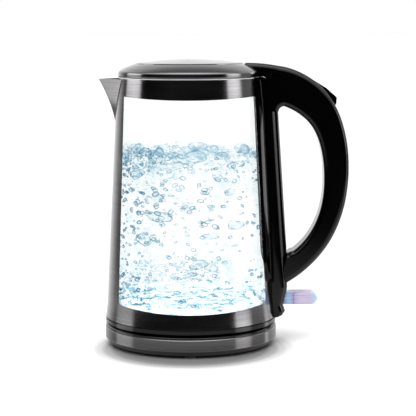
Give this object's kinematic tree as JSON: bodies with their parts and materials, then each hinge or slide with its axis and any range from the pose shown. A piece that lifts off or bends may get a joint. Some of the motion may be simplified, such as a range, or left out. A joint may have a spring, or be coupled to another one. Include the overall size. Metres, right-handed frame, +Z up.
{
  "type": "electric kettle",
  "caption": "Electric kettle: glass jug in a windowed dark steel shell, hinged lid with release button, D-handle and on/off lever, on a round lift-off power base.",
  "frame": {"origin": "on the jug's axis, at the level that the rubber feet stand on", "axes": "+Z up along the jug's axis; +X towards the handle, so the spout points to -X; -Y is the side seen in a front view with the handle on the right"},
  "size_m": [0.2136, 0.1492, 0.2452],
  "materials": {
    "dark_steel": "horizontally brushed gunmetal stainless steel",
    "gloss_black": "glossy black polypropylene",
    "matte_black": "fine-grained black plastic",
    "glass": "clear borosilicate glass",
    "silicone": "translucent white silicone",
    "rubber": "soft black rubber",
    "stainless": "bright stainless steel",
    "aluminium": "bare aluminium",
    "brass": "bare brass contact",
    "cream_plastic": "heat-proof natural plastic",
    "spring_steel": "plated steel",
    "clear_violet": "clear plastic lit violet from inside"
  },
  "bodies": {
    "base": {"base_bottom": "matte_black", "base_band": "dark_steel", "base_top": "gloss_black", "rubber_feet": "rubber", "base_screws": "spring_steel", "base_connector": "cream_plastic", "live_pin": "brass", "earth_ring": "brass", "neutral_ring": "brass", "cord_gland": "matte_black"},
    "socket": {"jug_socket": "cream_plastic"},
    "jug": {"outer_shell": "dark_steel", "spout": "dark_steel", "trim_ring": "stainless", "glass_body": "glass", "skirt_ring": "gloss_black", "bottom_cover": "matte_black", "cover_screws": "spring_steel", "control_unit": "matte_black", "bimetal_discs": "spring_steel", "heating_element": "aluminium", "heat_spreader": "aluminium", "heating_plate": "stainless", "plate_clamp": "matte_black", "bottom_gasket": "silicone", "top_gasket": "silicone", "rim_ring": "matte_black", "filter_frame": "matte_black", "filter_mesh": "stainless", "handle_back": "gloss_black", "handle_cover": "gloss_black", "handle_inner": "gloss_black", "handle_screws": "spring_steel", "steam_tube": "silicone", "hinge_bracket": "stainless", "button_pin": "spring_steel", "lever_pin": "spring_steel", "lever_spring": "spring_steel", "indicator_lamp": "clear_violet", "latch_spring": "spring_steel"},
    "lid": {"lid_ring": "dark_steel", "lid_disc": "dark_steel", "lid_frame": "matte_black", "lid_liner": "matte_black", "lid_screws": "spring_steel", "lid_gasket": "silicone", "lid_arm": "gloss_black", "hinge_pin": "spring_steel", "lid_spring": "spring_steel"},
    "button": {"release_button": "gloss_black", "button_spring": "spring_steel"},
    "latch": {"latch_slider": "matte_black"},
    "lever": {"switch_lever": "clear_violet"}
  },
  "joints": [
    {"name": "jug_lift", "type": "slide", "parent": "base", "child": "socket", "axis": [0, 0, 1], "range_m": [0, 0.12]},
    {"name": "jug_swivel", "type": "hinge", "parent": "socket", "child": "jug", "pos_m": [0, 0, 0.025], "axis": [0, 0, 1], "continuous": true},
    {"name": "lid_hinge", "type": "hinge", "parent": "jug", "child": "lid", "pos_m": [0.0674, 0, 0.236], "axis": [0, 1, 0], "range_deg": [0, 80]},
    {"name": "button_press", "type": "hinge", "parent": "jug", "child": "button", "pos_m": [0.1066, 0, 0.2228], "axis": [0, 1, 0], "range_deg": [0, 6.5], "stiffness_Nm_per_rad": 1.5, "springref_deg": -3.44},
    {"name": "latch_slide", "type": "slide", "parent": "jug", "child": "latch", "axis": [0.9379, 0, -0.3468], "range_m": [0, 0.003]},
    {"name": "lever_toggle", "type": "hinge", "parent": "jug", "child": "lever", "pos_m": [0.0766, 0, 0.0389], "axis": [0, -1, 0], "range_deg": [0, 12]}
  ],
  "couplings": [
    {"joint": "latch_slide", "follows": "button_press", "m_per_rad": 0.02644}
  ]
}
